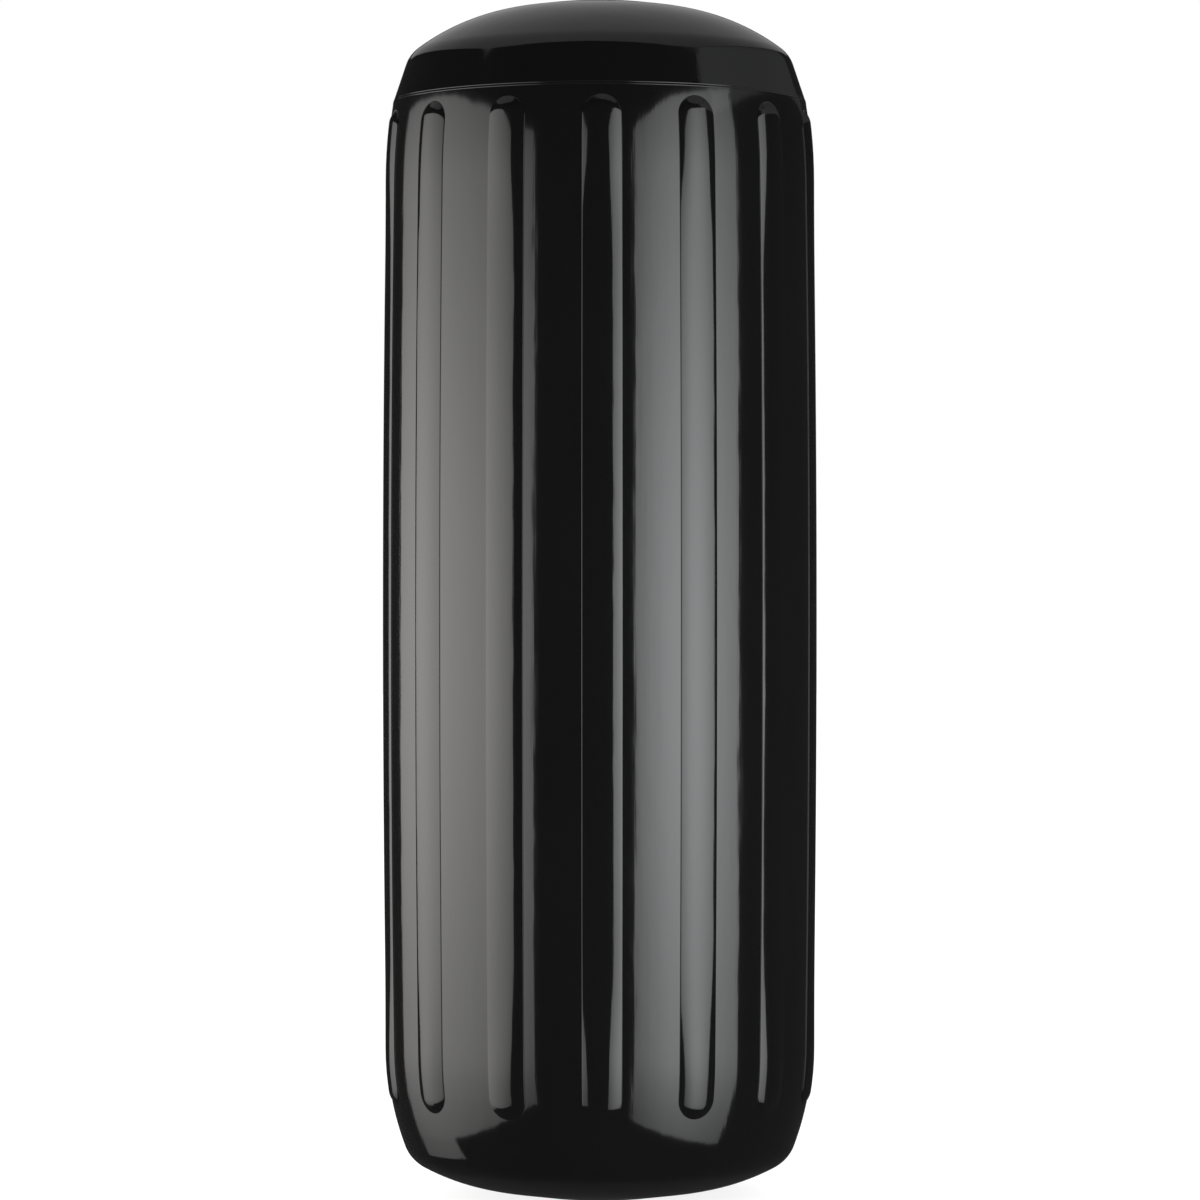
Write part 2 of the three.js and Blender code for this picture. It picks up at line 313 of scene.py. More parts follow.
class SectionPen:
    """Draws a section in the plane of the axis, as extruded runs and spun arcs.

    Its heading is 0 outwards, 90 down and 180 inwards, in degrees, and the mesh stays in edit mode until
    the section is turned or left.
    """

    def __init__(self, name: str, r: float, z: float, heading: float) -> None:
        """Starts a section.

        Args:
            name: name of the new object.
            r: radius of the first point.
            z: height of the first point.
            heading: the first heading, in degrees.
        """
        self.piece = start_empty_point(name, (r, 0.0, z))
        self.r, self.z, self.heading = r, z, heading

    def step(self, dr: float, dz: float) -> None:
        """Extrudes the last point by a step.

        Args:
            dr: step outwards.
            dz: step upwards.
        """
        bpy.ops.mesh.extrude_region_move(TRANSFORM_OT_translate={"value": (dr, 0.0, dz)})
        self.r += dr
        self.z += dz

    def run(self, length: float, steps: int = 1) -> None:
        """Draws a straight run along the heading.

        Args:
            length: the run's length.
            steps: the number of edges.
        """
        for _ in range(steps if length > 0 else 0):
            self.step(length / steps * cos(self.heading), -length / steps * sin(self.heading))

    def arc(self, radius: float, to_heading: float, steps: int) -> None:
        """Spins the last point along an arc, which turns clockwise if its heading grows.

        Args:
            radius: the arc's radius.
            to_heading: the heading at its end, in degrees.
            steps: the number of edges.
        """
        side = 1 if to_heading > self.heading else -1
        centre = (self.r - side * radius * sin(self.heading), self.z - side * radius * cos(self.heading))
        turn = math.radians(to_heading - self.heading)
        bpy.ops.mesh.spin(steps=steps, angle=-turn, center=(centre[0], 0.0, centre[1]), axis=(0.0, 1.0, 0.0))
        self.r = centre[0] + side * radius * sin(to_heading)
        self.z = centre[1] + side * radius * cos(to_heading)
        self.heading = to_heading

    def turn_round_axis(self, steps: int) -> bpy.types.Object:
        """Spins the whole section round the axis and leaves edit mode.

        Args:
            steps: the number of faces in a full turn.

        Returns:
            The turned surface.
        """
        bpy.ops.mesh.select_all(action="SELECT")
        bpy.ops.mesh.spin(steps=steps, angle=math.tau, center=(0.0, 0.0, 0.0), axis=(0.0, 0.0, 1.0))
        leave_edit()
        return self.piece


@dataclass
class FenderSkin:
    """The one-piece moulded skin: domed ends, parting line, rope tube and ribs.

    A rib has a steep foot as high as rib_edge. Its crown rises rib_crown more, and near the rib's ends,
    within about end_reach, end_crown more again. Each rib's share of the barrel runs from sector_low to
    sector_high. Steps, cuts, rings and the row pitch set how fine the mesh is.
    """

    foot_angles: ClassVar[Row] = (0, 30, 60, 85)
    lip_angles: ClassVar[Row] = (0, 35, 65)
    crown_rings: ClassVar[Row] = (0.965, 0.92, 0.86, 0.79, 0.72, 0.64, 0.56, 0.46, 0.34, 0.2, 0)

    ribs: int = 14
    rib_half_width: float = 0.0139
    rib_top_setback: float = 0.0790
    rib_bottom_setback: float = 0.0687
    rib_edge: float = 0.00050
    rib_crown: float = 0.00138
    end_crown: float = 0.00122
    end_reach: float = 0.060
    end_flat: float = 0.38
    end_bend: float = 0.5
    foot_round: float = 0.0001
    lip_round: float = 0.00015
    lip_margin: float = 1.6
    sector_low: float = 0.0645
    sector_high: float = 0.7905
    end_steps: int = 24
    side_steps: int = 3
    land_cuts: int = 3
    foot_ring: float = 0.0004
    crest_merge: float = 0.0001
    row_pitch: float = 0.009
    bead_width: float = 0.0006
    bead_rise: float = 0.00018
    bead_gap: float = 0.0011
    bead_steps: int = 6
    tube_steps: int = 12
    mouth_steps: int = 8
    land_steps: int = 2
    land_round_steps: int = 4
    shoulder_steps: int = 4

    @property
    def half_sector(self) -> float:
        """Returns half the width of one rib's share of the barrel, laid flat."""
        return SIZES.barrel_radius * math.pi / self.ribs

    @property
    def low_centre(self) -> float:
        """Returns the height of the centre of a rib's lower round end."""
        return self.rib_bottom_setback + self.rib_half_width

    @property
    def high_centre(self) -> float:
        """Returns the height of the centre of a rib's upper round end."""
        return SIZES.length - self.rib_top_setback - self.rib_half_width

    def build(self) -> bpy.types.Object:
        """Builds the skin as one closed mesh.

        Returns:
            The skin.
        """
        ends = self.turned_ends()
        barrel = self.ribbed_barrel()
        bpy.ops.object.select_all(action="DESELECT")
        barrel.select_set(True)
        ends.select_set(True)
        bpy.context.view_layer.objects.active = ends
        bpy.ops.object.join()
        weld(ends, SEAM)
        ends.name = "vinyl_skin"
        return ends

    def turned_ends(self) -> bpy.types.Object:
        """Turns both ends and the rope tube, from the barrel's lower edge round to its upper edge.

        Returns:
            The turned surface, open where the barrel goes.
        """
        top, bottom = SIZES.top, SIZES.bottom
        low_heading = 180 - SIZES.turn_heading(bottom, self.sector_low)
        pen = SectionPen("turned_ends", SIZES.radius_at(self.sector_low), self.sector_low, low_heading)
        pen.arc(bottom.turn_radius, 180 - bottom.turn_start, bottom.turn_steps)
        pen.arc(bottom.corner_radius, 180 - bottom.dome_edge, bottom.corner_steps)
        pen.arc(SIZES.dome_radius(bottom), 180 - bottom.cone_angle, bottom.dome_steps)
        pen.run(bottom.cone_run, bottom.cone_steps)
        pen.arc(SIZES.land_round, 180, self.land_round_steps)
        pen.run(SIZES.land_width, self.land_steps)
        pen.arc(SIZES.mouth_round, 270, self.mouth_steps)
        pen.run(SIZES.length - 2 * SIZES.mouth_round, self.tube_steps)
        pen.heading = -90
        pen.arc(SIZES.mouth_round, 0, self.mouth_steps)
        pen.run(SIZES.land_width, self.land_steps)
        pen.arc(SIZES.land_round, top.cone_angle, self.land_round_steps)
        pen.run(top.cone_run, top.cone_steps)
        pen.arc(SIZES.dome_radius(top), top.dome_edge, top.dome_steps)
        pen.arc(top.corner_radius, top.shoulder_angle, top.corner_steps)
        pen.run(top.shoulder_run - self.bead_width - self.bead_gap / 2, self.shoulder_steps)
        self.parting_line(pen)
        edge_heading = SIZES.turn_heading(top, SIZES.length - self.sector_high)
        pen.arc(top.turn_radius, edge_heading, top.turn_steps)
        return pen.turn_round_axis(self.ribs * (self.end_steps - 2 * self.side_steps))

    def parting_line(self, pen: SectionPen) -> None:
        """Draws the mould's parting line, a fine bead on each side of where the shoulder meets the barrel.

        Args:
            pen: the pen, just before the line.
        """
        self.bead(pen)
        pen.run(self.bead_gap / 2)
        pen.heading = SIZES.top.turn_start
        pen.run(self.bead_gap / 2)
        self.bead(pen)
        pen.heading = SIZES.turn_heading(SIZES.top, SIZES.length - pen.z)

    def bead(self, pen: SectionPen) -> None:
        """Draws one fine bead along the heading.

        Args:
            pen: the pen, at the bead's near edge.
        """
        r, z = pen.r, pen.z
        for i in range(1, self.bead_steps + 1):
            along = self.bead_width * i / self.bead_steps
            rise = self.bead_rise * sin(180 * i / self.bead_steps)
            target_r = r + along * cos(pen.heading) + rise * sin(pen.heading)
            target_z = z - along * sin(pen.heading) + rise * cos(pen.heading)
            pen.step(target_r - pen.r, target_z - pen.z)

    def ribbed_barrel(self) -> bpy.types.Object:
        """Models one rib's share of the barrel flat, lays it on the barrel and repeats it round the axis.

        Returns:
            The barrel's surface, open at both edges.
        """
        piece = self.flat_slot()
        self.land_round_slot(piece)
        self.rib_in_slot(piece)
        leave_edit()
        for vertex in piece.data.vertices:
            vertex.co = self.on_barrel(vertex.co)
        piece.data.update()
        bpy.ops.object.mode_set(mode="EDIT")
        bpy.ops.mesh.select_all(action="SELECT")
        bpy.ops.mesh.spin(steps=self.ribs, angle=math.tau, dupli=True, center=(0, 0, 0), axis=(0, 0, 1))
        leave_edit()
        weld(piece, SEAM)
        return piece

    def flat_slot(self) -> bpy.types.Object:
        """Draws the slot-shaped outline of a rib's foot, laid flat with the fender's axis along Y.

        Returns:
            The outline, in edit mode.
        """
        reach = self.rib_half_width + self.foot_round + self.foot_ring
        straight = self.high_centre - self.low_centre
        rows = round(straight / self.row_pitch)
        piece = start_empty_point("barrel", (reach, self.low_centre, 0.0))
        for way, centre in ((1, self.high_centre), (-1, self.low_centre)):
            for _ in range(rows):
                step = (0.0, way * straight / rows, 0.0)
                bpy.ops.mesh.extrude_region_move(TRANSFORM_OT_translate={"value": step})
            bpy.ops.mesh.spin(steps=self.end_steps, angle=-math.pi, center=(0.0, centre, 0.0), axis=(0, 0, 1))
        bpy.ops.mesh.select_all(action="SELECT")
        bpy.ops.mesh.remove_doubles(threshold=MERGE)
        return piece

    def land_round_slot(self, piece: bpy.types.Object) -> None:
        """Extrudes the outline out to the edges of its share of the barrel, and selects the outline again.

        Args:
            piece: the outline, in edit mode.
        """
        bpy.ops.mesh.select_all(action="SELECT")
        bpy.ops.mesh.extrude_region_move()
        leave_edit()
        moved = [vertex for vertex in piece.data.vertices if vertex.select]
        for vertex in moved:
            vertex.co = self.edge_point(vertex.co)
        outer = {vertex.index for vertex in moved}
        bpy.ops.object.mode_set(mode="EDIT")
        select_edges(piece, lambda edge: len(outer & set(edge.vertices)) == 1)
        bpy.ops.mesh.subdivide_edgering(number_cuts=self.land_cuts, interpolation="LINEAR", smoothness=0.0)
        reach = self.rib_half_width + self.foot_round + self.foot_ring + MERGE
        places = piece.data.vertices
        select_edges(piece, lambda edge: all(self.slot_distance(places[i].co) < reach for i in edge.vertices))

    def slot_distance(self, place: Vector) -> float:
        """Measures how far a flat point is from the rib's middle line.

        Args:
            place: the point, with the axis along Y.

        Returns:
            The distance.
        """
        centre = min(max(place.y, self.low_centre), self.high_centre)
        return math.hypot(place.x, place.y - centre)

    def edge_point(self, place: Vector) -> Vector:
        """Finds where a point of the outline goes on the edge of its share of the barrel.

        Args:
            place: the point on the outline.

        Returns:
            The point on the edge.
        """
        if self.low_centre - MERGE < place.y < self.high_centre + MERGE:
            return Vector((math.copysign(self.half_sector, place.x), place.y, 0.0))
        above = place.y > self.high_centre
        centre = self.high_centre if above else self.low_centre
        edge = self.sector_high if above else self.sector_low
        angle = math.atan2(abs(place.y - centre), place.x)
        step = round(angle / math.pi * self.end_steps)
        across = self.end_steps - 2 * self.side_steps
        share = min(step, self.end_steps - step, self.side_steps) / self.side_steps
        x = self.half_sector * (1 - 2 * min(max(step - self.side_steps, 0), across) / across)
        return Vector((x, centre + (edge - centre) * share, 0.0))

    def rib_in_slot(self, piece: bpy.types.Object) -> None:
        """Fills the outline and insets it step by step into the rib's foot, edge and crown.

        Args:
            piece: the mesh, in edit mode, with the outline selected.
        """
        bpy.ops.mesh.edge_face_add()
        leave_edit()
        filled = next(polygon for polygon in piece.data.polygons if polygon.select)
        turned_over = filled.normal.z < 0
        bpy.ops.object.mode_set(mode="EDIT")
        if turned_over:
            bpy.ops.mesh.flip_normals()
        bpy.ops.mesh.select_mode(type="FACE")
        reach, rise = self.rib_half_width + self.foot_round + self.foot_ring, 0.0
        for next_reach, next_rise in self.rib_section():
            bpy.ops.mesh.inset(thickness=reach - next_reach, depth=next_rise - rise, use_even_offset=True)
            reach, rise = next_reach, next_rise
        bpy.ops.mesh.delete(type="ONLY_FACE")
        self.close_crest(piece)

    def close_crest(self, piece: bpy.types.Object) -> None:
        """Merges the innermost ring of the rib into its crest line.

        Args:
            piece: the mesh, in edit mode.
        """
        bpy.ops.mesh.select_mode(type="VERT")
        bpy.ops.mesh.select_all(action="DESELECT")
        leave_edit()
        for vertex in piece.data.vertices:
            vertex.select = self.slot_distance(vertex.co) < self.crest_merge
        bpy.ops.object.mode_set(mode="EDIT")
        bpy.ops.mesh.remove_doubles(threshold=2 * self.crest_merge)

    def rib_section(self) -> list[Pair]:
        """Gives the rib's section from its foot to its crest.

        Returns:
            Pairs of the distance from the middle line and the rise above the barrel.
        """
        half, edge, foot, lip = self.rib_half_width, self.rib_edge, self.foot_round, self.lip_round
        fillet = [(half + foot * (1 - sin(a)), foot * (1 - cos(a))) for a in self.foot_angles]
        rounding = [(half - lip * (1 - cos(a)), edge - lip * (1 - sin(a))) for a in self.lip_angles]
        return fillet + rounding + [(half * share, edge) for share in (self.crown_edge, *self.crown_rings)]

    @property
    def crown_edge(self) -> float:
        """Returns where the crown starts, as a share of the rib's half width."""
        return 1 - self.lip_margin * self.lip_round / self.rib_half_width

    def crown_rise(self, place: Vector) -> float:
        """Gives the rise of a point on the rib's crown, which grows near the rib's ends and runs out there.

        Args:
            place: the flat point: across the rib and along the axis.

        Returns:
            The rise above the barrel.
        """
        across = min(abs(place.x) / self.rib_half_width, self.crown_edge)
        beyond = max(place.y - self.high_centre, self.low_centre - place.y)
        inside = max(-beyond, 0.0) / self.end_reach
        crown = self.rib_crown + self.end_crown * math.exp(-(inside**2))
        share = max(beyond, 0.0) / self.rib_half_width / math.sqrt(1 - across**2)
        return self.rib_edge + crown * (1 - across**2) * (1 - self.end_fall(min(share, 1.0)))

    def end_fall(self, share: float) -> float:
        """Gives how far the crown has fallen along a rib's round end: it bends down, then runs straight.

        Args:
            share: how far along the round end, from 0 to 1 at the outline.

        Returns:
            The fallen share of the crown.
        """
        along = max(share - self.end_flat, 0.0) / (1 - self.end_flat)
        fallen = along**2 / 2 / self.end_bend if along < self.end_bend else along - self.end_bend / 2
        return fallen / (1 - self.end_bend / 2)

    def on_barrel(self, place: Vector) -> Vector:
        """Lays a flat point on the barrel.

        Args:
            place: the point: across the rib, along the axis, and its rise above the skin.

        Returns:
            The point on the rib that faces -Y.
        """
        on_crown = self.slot_distance(place) < self.crown_edge * self.rib_half_width + MERGE
        radius = SIZES.radius_at(place.y) + (self.crown_rise(place) if on_crown else place.z)
        angle = place.x / SIZES.barrel_radius - math.pi / 2
        return Vector((radius * math.cos(angle), radius * math.sin(angle), place.y))


@dataclass
class Valve:
    """The inflation valve in the upper end: its pocket, a soft flanged bush and a slotted screw.

    Heights in the valve's own frame count from the skin round the pocket.
    """

    axis_radius: float = 0.055
    clearance: float = 0.0003
    pocket_radius: float = 0.013
    pocket_depth: float = 0.003
    pocket_draft: float = 15.0
    rim_round: float = 0.0009
    rim_lift: float = 0.000045
    neck_radius: float = 0.006
    neck_length: float = 0.009
    flange_radius: float = 0.0105
    flange_thickness: float = 0.002
    flange_round: float = 0.0005
    hole_round: float = 0.00025
    barb_radius: float = 0.0074
    barb_length: float = 0.005
    barb_rim: float = 0.001
    tip_radius: float = 0.004
    head_radius: float = 0.0052
    head_height: float = 0.0013
    head_round: float = 0.0004
    shank_bevel: float = 0.0008
    shank_radius: float = 0.0029
    shank_length: float = 0.0074
    slot_width: float = 0.0014
    slot_depth: float = 0.0008
    steps: int = 96
    rim_steps: int = 6
    hole_steps: int = 4
    face_steps: int = 3
    flange_steps: int = 6
    head_steps: int = 5

    @property
    def place(self) -> Matrix:
        """Returns the valve's own frame, whose axis stands square on the upper cone."""
        angle = SIZES.top.cone_angle
        run = self.axis_radius - SIZES.land_radius - SIZES.land_round * sin(angle)
        drop = SIZES.land_round * (1 - cos(angle)) + run * sin(angle) / cos(angle)
        lift = Matrix.Translation((0.0, self.axis_radius, SIZES.length - drop))
        return lift @ Matrix.Rotation(-math.radians(angle), 4, "X")

    @property
    def top(self) -> float:
        """Returns the height of the flange's face in the valve's frame."""
        return -self.pocket_depth + self.clearance + self.flange_thickness

    def settle(self, piece: bpy.types.Object) -> bpy.types.Object:
        """Welds a turned piece, puts it in the valve's frame and applies its place.

        Args:
            piece: the turned piece, standing on the origin.

        Returns:
            The piece.
        """
        weld(piece)
        piece.matrix_world = self.place
        bpy.ops.object.transform_apply(location=True, rotation=True, scale=True)
        return piece

    def cut_pocket(self, skin: bpy.types.Object) -> None:
        """Cuts the drafted pocket and the neck's bore into the skin.

        Args:
            skin: the closed skin.
        """
        pen = SectionPen("pocket_cutter", 0.0, self.pocket_depth, 0.0)
        mouth = self.pocket_radius + self.pocket_depth * math.tan(math.radians(self.pocket_draft))
        pen.step(mouth + 4 * self.rim_round, 0.0)
        pen.step(0.0, self.rim_lift - self.pocket_depth)
        pen.heading = 180.0
        pen.arc(self.rim_round, 90 + self.pocket_draft, self.rim_steps)
        pen.step(self.pocket_radius - pen.r, -self.pocket_depth - pen.z)
        pen.step(self.neck_radius - self.pocket_radius, 0.0)
        pen.step(0.0, -self.neck_length)
        pen.step(self.barb_radius + self.clearance - self.neck_radius, 0.0)
        pen.step(0.0, -self.barb_length - 2 * self.clearance)
        pen.step(-self.barb_radius - self.clearance, 0.0)
        cutter = self.settle(pen.turn_round_axis(self.steps))
        cut = skin.modifiers.new("pocket", "BOOLEAN")
        cut.operation = "DIFFERENCE"
        cut.solver = "MANIFOLD"
        cut.object = cutter
        apply_modifiers(skin)
        bpy.data.objects.remove(cutter)

    def build_bush(self) -> bpy.types.Object:
        """Turns the flanged bush with its barbed inner end and its screw hole.

        Returns:
            The bush.
        """
        seat = -self.pocket_depth + self.clearance
        stem = self.neck_radius - self.clearance
        sink = self.head_radius + self.clearance
        pen = SectionPen("valve_bush", sink, self.top - self.head_height - self.clearance, -90.0)
        pen.step(0.0, self.head_height + self.clearance - self.hole_round)
        pen.arc(self.hole_round, 0.0, self.hole_steps)
        pen.run(self.flange_radius - self.flange_round - pen.r, self.face_steps)
        pen.arc(self.flange_round, 90.0, self.flange_steps)
        pen.step(0.0, seat - pen.z)
        pen.step(stem - pen.r, 0.0)
        pen.step(0.0, -self.neck_length - 2 * self.clearance)
        pen.step(self.barb_radius - stem, 0.0)
        pen.step(0.0, -self.barb_rim)
        pen.step(self.tip_radius - self.barb_radius, self.barb_rim - self.barb_length)
        pen.step(-self.tip_radius, 0.0)
        bpy.ops.mesh.select_all(action="DESELECT")
        leave_edit()
        pen.piece.data.vertices[0].select = True
        bpy.ops.object.mode_set(mode="EDIT")
        hole = self.shank_radius + self.clearance
        depth = self.shank_length + self.clearance
        for step in ((hole - sink, 0.0, 0.0), (0.0, 0.0, -depth), (-hole, 0.0, 0.0)):
            bpy.ops.mesh.extrude_region_move(TRANSFORM_OT_translate={"value": step})
        return self.settle(pen.turn_round_axis(self.steps))

    def build_screw(self) -> bpy.types.Object:
        """Turns the screw that closes the bush, and cuts its slot.

        Returns:
            The screw.
        """
        under = self.top - self.head_height
        pen = SectionPen("valve_closing_screw", 0.0, self.top, 0.0)
        pen.run(self.head_radius - self.head_round, self.face_steps)
        pen.arc(self.head_round, 90.0, self.head_steps)
        pen.step(0.0, under - pen.z)
        pen.step(self.shank_radius - self.head_radius, 0.0)
        pen.step(0.0, self.shank_bevel - self.shank_length)
        pen.step(-self.shank_bevel, -self.shank_bevel)
        pen.step(self.shank_bevel - self.shank_radius, 0.0)
        screw = pen.turn_round_axis(self.steps)
        weld(screw)
        bpy.ops.object.select_all(action="DESELECT")
        bpy.ops.mesh.primitive_cube_add(size=1.0, location=(0.0, 0.0, self.top))
        cutter = bpy.context.object
        cutter.scale = (3 * self.head_radius, self.slot_width, 2 * self.slot_depth)
        bpy.ops.object.transform_apply(location=True, rotation=True, scale=True)
        cut = screw.modifiers.new("slot", "BOOLEAN")
        cut.operation = "DIFFERENCE"
        cut.solver = "EXACT"
        cut.object = cutter
        apply_modifiers(screw)
        bpy.data.objects.remove(cutter)
        return self.settle(screw)


class NodeSheet:
    """A node tree with short ways to add and join its nodes."""

    def __init__(self, tree: bpy.types.NodeTree) -> None:
        """Takes a tree.

        Args:
            tree: the node tree to add to.
        """
        self.tree = tree

    def add(self, kind: str, **values: object) -> bpy.types.Node:
        """Adds a node.

        Args:
            kind: the node's type.
            **values: settings of the node.

        Returns:
            The node.
        """
        node = self.tree.nodes.new(kind)
        for name, value in values.items():
            setattr(node, name, value)
        return node

    def join(self, source: object, target: bpy.types.NodeSocket) -> None:
        """Links a socket, or sets a constant.

        Args:
            source: a socket, or the constant.
            target: the input.
        """
        if isinstance(source, bpy.types.NodeSocket):
            self.tree.links.new(source, target)
        else:
            target.default_value = source

    def maths(self, operation: str, first: object, second: object = 0.0) -> bpy.types.NodeSocket:
        """Adds a maths node.

        Args:
            operation: its operation.
            first: a socket or a number.
            second: a socket or a number.

        Returns:
            Its output.
        """
        node = self.add("ShaderNodeMath", operation=operation)
        self.join(first, node.inputs[0])
        self.join(second, node.inputs[1])
        return node.outputs[0]

    def dot(self, first: bpy.types.NodeSocket, second: Vector) -> bpy.types.NodeSocket:
        """Adds a dot product with a constant vector.

        Args:
            first: the vector's socket.
            second: the constant vector.

        Returns:
            The product's socket.
        """
        node = self.add("ShaderNodeVectorMath", operation="DOT_PRODUCT")
        self.join(first, node.inputs[0])
        node.inputs[1].default_value = second
        return node.outputs["Value"]

    def bell(self, share: bpy.types.NodeSocket) -> bpy.types.NodeSocket:
        """Gives 1 at the middle and a half at a share of 1.

        Args:
            share: distance from the middle, as a share of the half-way distance.

        Returns:
            The bell's socket.
        """
        return self.maths("DIVIDE", 1.0, self.maths("ADD", self.maths("MULTIPLY", share, share), 1.0))

    def noise(self, scale: object, detail: float, stretch: Triple) -> bpy.types.NodeSocket:
        """Adds a noise on stretched object coordinates.

        Args:
            scale: the noise's scale, a number or a socket.
            detail: its detail.
            stretch: scales of the three axes.

        Returns:
            The noise's value, from 0 to 1.
        """
        mapping = self.add("ShaderNodeMapping")
        mapping.inputs["Scale"].default_value = stretch
        self.join(self.add("ShaderNodeTexCoord").outputs["Object"], mapping.inputs["Vector"])
        texture = self.add("ShaderNodeTexNoise")
        self.join(mapping.outputs["Vector"], texture.inputs["Vector"])
        self.join(scale, texture.inputs["Scale"])
        self.join(detail, texture.inputs["Detail"])
        return texture.outputs["Fac"]

    def seen_directly(self) -> bpy.types.NodeSocket:
        """Adds a mask that is 1 for camera, glossy and transmission rays.

        Returns:
            The mask's socket.
        """
        path = self.add("ShaderNodeLightPath")
        mask = self.maths("MAXIMUM", path.outputs["Is Camera Ray"], path.outputs["Is Glossy Ray"])
        return self.maths("MAXIMUM", mask, path.outputs["Is Transmission Ray"])

    def white_glow(self, kind: str, strength: object) -> bpy.types.NodeSocket:
        """Adds a white shader that gives light.

        Args:
            kind: the shader node's type, a background or an emission.
            strength: its strength.

        Returns:
            The shader's socket.
        """
        glow = self.add(kind)
        self.join((1.0, 1.0, 1.0, 1.0), glow.inputs["Color"])
        self.join(strength, glow.inputs["Strength"])
        return glow.outputs[0]

    def mix(self, mask: object, first: object, second: object) -> bpy.types.NodeSocket:
        """Mixes two shaders.

        Args:
            mask: 0 shows the first, 1 the second.
            first: a shader's socket.
            second: a shader's socket.

        Returns:
            The mixed shader's socket.
        """
        mixed = self.add("ShaderNodeMixShader")
        for slot, source in zip(mixed.inputs, (mask, first, second)):
            self.join(source, slot)
        return mixed.outputs[0]

    def diffuse(self, grey: float) -> bpy.types.NodeSocket:
        """Adds a diffuse grey.

        Args:
            grey: its value.

        Returns:
            The shader's socket.
        """
        shader = self.add("ShaderNodeBsdfDiffuse")
        self.join((grey, grey, grey, 1.0), shader.inputs["Color"])
        return shader.outputs[0]


class SurfaceGroup:
    """Shader node group for moulded surfaces: slow unevenness, fine grain, and haze of handling.

    Each noise is its scale, its detail, and how its three axes are stretched.
    """

    NAME = "moulded_surface"
    WAVES = (9.0, 1.0, (1.0, 1.0, 0.35))
    RIPPLES = (45.0, 2.0, (1.0, 1.0, 0.3))
    STREAKS = (260.0, 3.0, (1.0, 1.0, 0.02))
    HAZE = (14.0, 4.0, (1.0, 1.0, 0.5))
    GRAIN = (2.0, (1.0, 1.0, 1.0))
    RIPPLE_SHARE = 0.6
    STREAK_SHARE = 0.12
    CLEAR_SHARE = 0.35

    @classmethod
    def get(cls) -> bpy.types.NodeTree:
        """Returns the group, built once.

        Returns:
            The node group, with Tone, Roughness and Height outputs.
        """
        if cls.NAME in bpy.data.node_groups:
            return bpy.data.node_groups[cls.NAME]
        tree = bpy.data.node_groups.new(cls.NAME, "ShaderNodeTree")
        for name, value in (
            ("Wave Height", 1.0),
            ("Grain Height", 1.0),
            ("Grain Scale", 900.0),
            ("Gloss Roughness", 0.1),
            ("Haze Roughness", 0.05),
        ):
            socket = tree.interface.new_socket(name, in_out="INPUT", socket_type="NodeSocketFloat")
            socket.default_value = value
        for name in ("Tone", "Roughness", "Height"):
            tree.interface.new_socket(name, in_out="OUTPUT", socket_type="NodeSocketFloat")
        cls.fill(tree)
        return tree

    @classmethod
    def fill(cls, tree: bpy.types.NodeTree) -> None:
        """Adds the group's nodes and links.

        Args:
            tree: the empty group.
        """
        sheet = NodeSheet(tree)
        source = sheet.add("NodeGroupInput").outputs
        result = sheet.add("NodeGroupOutput").inputs
        waves = sheet.noise(*cls.WAVES)
        ripples = sheet.maths("MULTIPLY", sheet.noise(*cls.RIPPLES), cls.RIPPLE_SHARE)
        streaks = sheet.maths("MULTIPLY", sheet.noise(*cls.STREAKS), cls.STREAK_SHARE)
        grain = sheet.noise(source["Grain Scale"], *cls.GRAIN)
        haze = sheet.noise(*cls.HAZE)
        uneven = sheet.maths("ADD", waves, sheet.maths("ADD", ripples, streaks))
        slow = sheet.maths("MULTIPLY", uneven, source["Wave Height"])
        fine = sheet.maths("MULTIPLY", grain, source["Grain Height"])
        sheet.join(sheet.maths("ADD", slow, fine), result["Height"])
        cloud = sheet.maths("MAXIMUM", sheet.maths("SUBTRACT", haze, cls.CLEAR_SHARE), 0.0)
        extra = sheet.maths("MULTIPLY", cloud, source["Haze Roughness"])
        sheet.join(sheet.maths("ADD", extra, source["Gloss Roughness"]), result["Roughness"])
        sheet.join(haze, result["Tone"])


@dataclass(frozen=True)
class MouldedFinish:
    """A moulded plastic or rubber finish."""

    name: str
    dark: Triple
    light: Triple
    gloss: float
    haze: float
    wave: float
    grain: float
    grain_scale: float
    ior: float = 1.54
    bump_distance: float = 0.001

    def material(self) -> bpy.types.Material:
        """Builds the material.

        Returns:
            The material, whose shader is a Principled BSDF fed by the moulded surface group.
        """
        material = bpy.data.materials.new(self.name)
        material.use_nodes = True
        sheet = NodeSheet(material.node_tree)
        shader = material.node_tree.nodes["Principled BSDF"].inputs
        surface = sheet.add("ShaderNodeGroup", node_tree=SurfaceGroup.get())
        for name, value in (
            ("Wave Height", self.wave),
            ("Grain Height", self.grain),
            ("Grain Scale", self.grain_scale),
            ("Gloss Roughness", self.gloss),
            ("Haze Roughness", self.haze),
        ):
            sheet.join(value, surface.inputs[name])
        tone = sheet.add("ShaderNodeMix", data_type="RGBA")
        sheet.join((*self.dark, 1.0), tone.inputs["A"])
        sheet.join((*self.light, 1.0), tone.inputs["B"])
        sheet.join(surface.outputs["Tone"], tone.inputs["Factor"])
        bump = sheet.add("ShaderNodeBump")
        sheet.join(self.bump_distance, bump.inputs["Distance"])
        sheet.join(surface.outputs["Height"], bump.inputs["Height"])
        sheet.join(self.ior, shader["IOR"])
        sheet.join(tone.outputs["Result"], shader["Base Color"])
        sheet.join(surface.outputs["Roughness"], shader["Roughness"])
        sheet.join(bump.outputs["Normal"], shader["Normal"])
        return material


